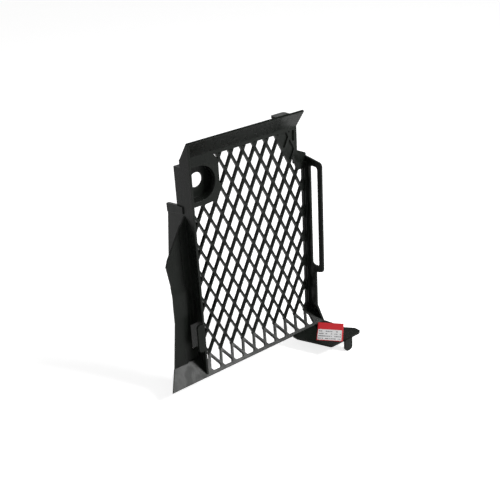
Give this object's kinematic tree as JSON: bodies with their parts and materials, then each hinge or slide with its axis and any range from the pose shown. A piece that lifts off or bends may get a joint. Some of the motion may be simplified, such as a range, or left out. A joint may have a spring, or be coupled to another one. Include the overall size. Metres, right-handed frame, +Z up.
{
  "type": "oil cooler guard",
  "caption": "Moulded plastic guard for a motorcycle oil cooler: a diamond grille in a walled tray, with side wing, slotted loop, bolt pocket and lower bracket.",
  "frame": {"origin": "on the axis of the bolt hole, at the front face of the floor of the bolt pocket", "axes": "+X to the right seen from the front, -Y to the front, +Z up"},
  "size_m": [0.193, 0.088, 0.231],
  "materials": {
    "guard_plastic": "satin black, fine moulded grain",
    "label_paper": "printed paper, matt"
  },
  "bodies": {
    "root": {"guard": "guard_plastic"}
  },
  "joints": []
}
